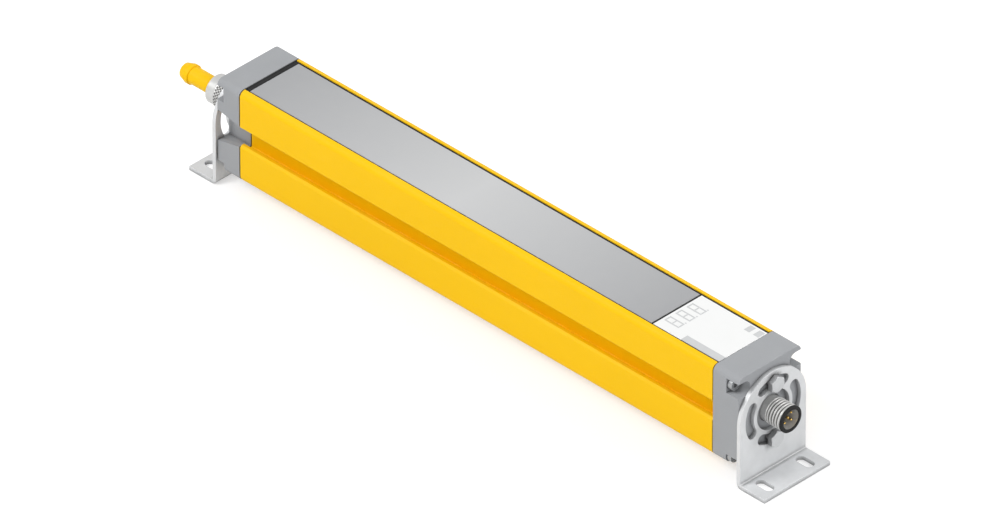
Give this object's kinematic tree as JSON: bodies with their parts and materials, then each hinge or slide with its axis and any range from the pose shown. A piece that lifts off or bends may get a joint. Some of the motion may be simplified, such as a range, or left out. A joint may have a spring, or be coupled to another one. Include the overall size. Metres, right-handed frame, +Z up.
{
  "type": "safety light curtain",
  "caption": "Slim safety light curtain: yellow extruded housing, grey lens, end caps, cable connector, closing plug and swivelling angle brackets.",
  "frame": {"origin": "middle of the bounding box, on the mounting surface under the bracket feet", "axes": "+X along the housing towards the cable connector, +Y across the housing, +Z up out of the lens"},
  "size_m": [0.3538, 0.038, 0.0528],
  "materials": {
    "yellow_housing": "satin powder coat",
    "grey_cap": "fine moulded grain",
    "black_rubber": "matt",
    "screw_steel": "zinc plated steel",
    "insert_steel": "turned, zinc plated",
    "bracket_steel": "zinc plated sheet",
    "bolt_steel": "zinc plated",
    "nickel_shell": "nickel plated brass",
    "nickel_nut": "nickel plated brass",
    "grey_carrier": "moulded",
    "gold_contact": "gold plated",
    "circuit_board": "solder mask",
    "black_plastic": "moulded",
    "yellow_plug": "moulded",
    "grey_lens": "polished tinted acrylic",
    "opal_panel": "satin opal",
    "grey_window": "satin",
    "clear_lens": "clear moulding",
    "led_body": "clear",
    "dark_chip": "moulded",
    "can_metal": "drawn"
  },
  "bodies": {
    "housing": {"board_stack_header": "black_plastic", "cable_end_board_header": "black_plastic", "cable_end_bracket_bolts": "bolt_steel", "cable_end_cap": "grey_cap", "cable_end_cap_screws": "screw_steel", "cable_end_connector_board": "circuit_board", "cable_end_connector_seal": "black_rubber", "cable_end_connector_shell": "nickel_shell", "cable_end_contact_carrier": "grey_carrier", "cable_end_contact_pins": "gold_contact", "cable_end_gasket": "black_rubber", "cable_end_threaded_inserts": "insert_steel", "digit_display": "grey_carrier", "digit_light_guide": "grey_window", "display_board": "circuit_board", "display_frame": "black_plastic", "display_panel": "opal_panel", "display_riser_board": "circuit_board", "housing_extrusion": "yellow_housing", "lens_strip": "clear_lens", "lens_window": "grey_lens", "optics_chassis": "black_plastic", "output_drivers": "dark_chip", "photodiodes": "dark_chip", "plug_body": "yellow_plug", "plug_contact_block": "black_plastic", "plug_coupling_nut": "nickel_nut", "plug_end_board_header": "black_plastic", "plug_end_bracket_bolts": "bolt_steel", "plug_end_cap": "grey_cap", "plug_end_cap_screws": "screw_steel", "plug_end_connector_board": "circuit_board", "plug_end_connector_seal": "black_rubber", "plug_end_connector_shell": "nickel_shell", "plug_end_contact_carrier": "grey_carrier", "plug_end_contact_pins": "gold_contact", "plug_end_gasket": "black_rubber", "plug_end_threaded_inserts": "insert_steel", "plug_seal_ring": "black_rubber", "processor_board": "circuit_board", "safety_processors": "dark_chip", "sensor_board": "circuit_board", "status_leds": "led_body", "status_windows": "grey_window", "supply_capacitors": "can_metal", "supply_inductor": "dark_chip", "window_end_seal": "black_rubber", "window_gasket": "black_rubber", "zone_leds": "led_body", "zone_light_bar": "grey_window"},
    "plug_bracket": {"plug_end_bracket": "bracket_steel"},
    "cable_bracket": {"cable_end_bracket": "bracket_steel"}
  },
  "joints": [
    {"name": "plug_bracket_swivel", "type": "hinge", "parent": "housing", "child": "plug_bracket", "pos_m": [-0.13895, 0, 0.0303], "axis": [1, 0, 0], "range_deg": [-28, 28]},
    {"name": "cable_bracket_swivel", "type": "hinge", "parent": "housing", "child": "cable_bracket", "pos_m": [0.16105, 0, 0.0303], "axis": [1, 0, 0], "range_deg": [-28, 28]}
  ]
}
